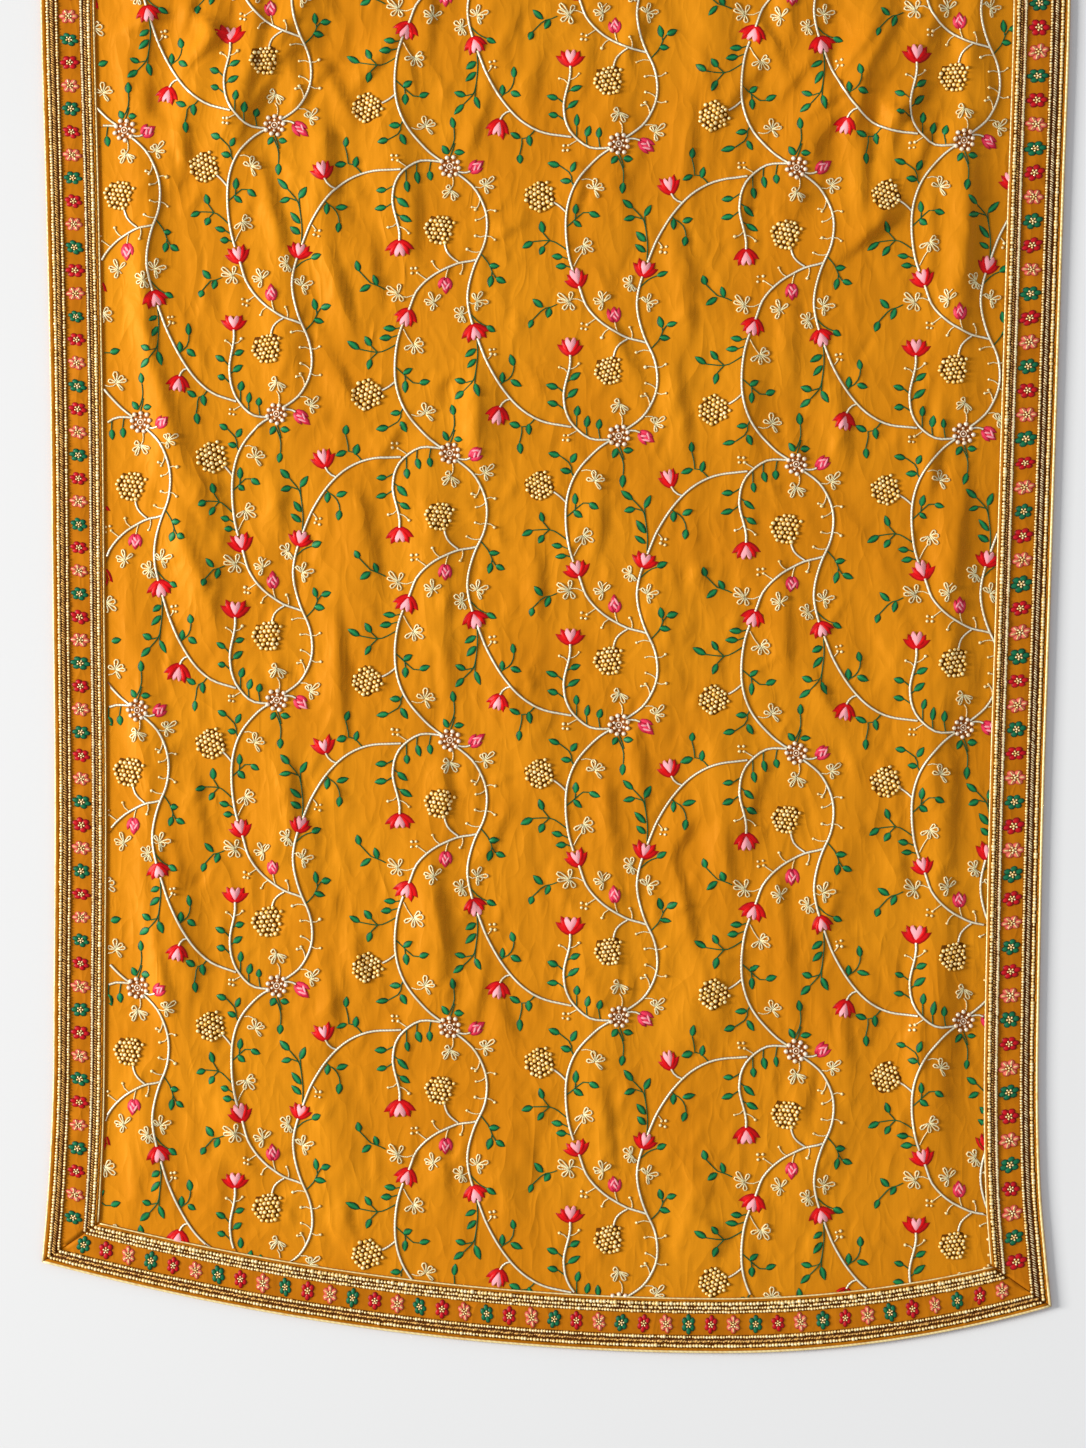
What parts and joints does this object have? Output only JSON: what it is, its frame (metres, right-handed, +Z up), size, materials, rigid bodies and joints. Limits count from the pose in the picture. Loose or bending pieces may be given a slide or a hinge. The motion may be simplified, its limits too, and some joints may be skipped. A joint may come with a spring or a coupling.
{
  "type": "embroidered dupatta",
  "caption": "Long rectangular embroidered dupatta laid flat with soft folds, edged all round by a mitred band between braids, worn draped over the shoulders or head.",
  "frame": {"origin": "on the surface that the cloth lies on, under the middle of the cloth's overall length and width", "axes": "+Z up from the surface, +Y along the cloth's length from the near hem to the far hem, +X across its width"},
  "size_m": [0.9349, 2.2999, 0.0113],
  "materials": {
    "cloth": "mustard crepe silk, soft sheen",
    "band_cloth": "mustard crepe silk, pressed",
    "binding_cloth": "mustard bias binding, satin",
    "braid": "woven gold thread over a dark ground",
    "gold_cord": "pale gold metal thread, couched",
    "gold_bead": "pale gold glass beads, bright",
    "rose_bead": "rose gold pearl beads",
    "green_thread": "green silk thread, satin stitch",
    "red_thread": "red silk thread, satin stitch",
    "pink_thread": "pink silk thread, satin stitch"
  },
  "bodies": {
    "root": {"main_panel": "cloth", "border_band_left": "band_cloth", "border_band_right": "band_cloth", "border_band_near": "band_cloth", "border_band_far": "band_cloth", "outer_braid_left": "braid", "outer_braid_right": "braid", "outer_braid_near": "braid", "outer_braid_far": "braid", "inner_braid_left": "braid", "inner_braid_right": "braid", "inner_braid_near": "braid", "inner_braid_far": "braid", "edge_binding_left": "binding_cloth", "edge_binding_right": "binding_cloth", "edge_binding_near": "binding_cloth", "edge_binding_far": "binding_cloth"}
  },
  "joints": []
}
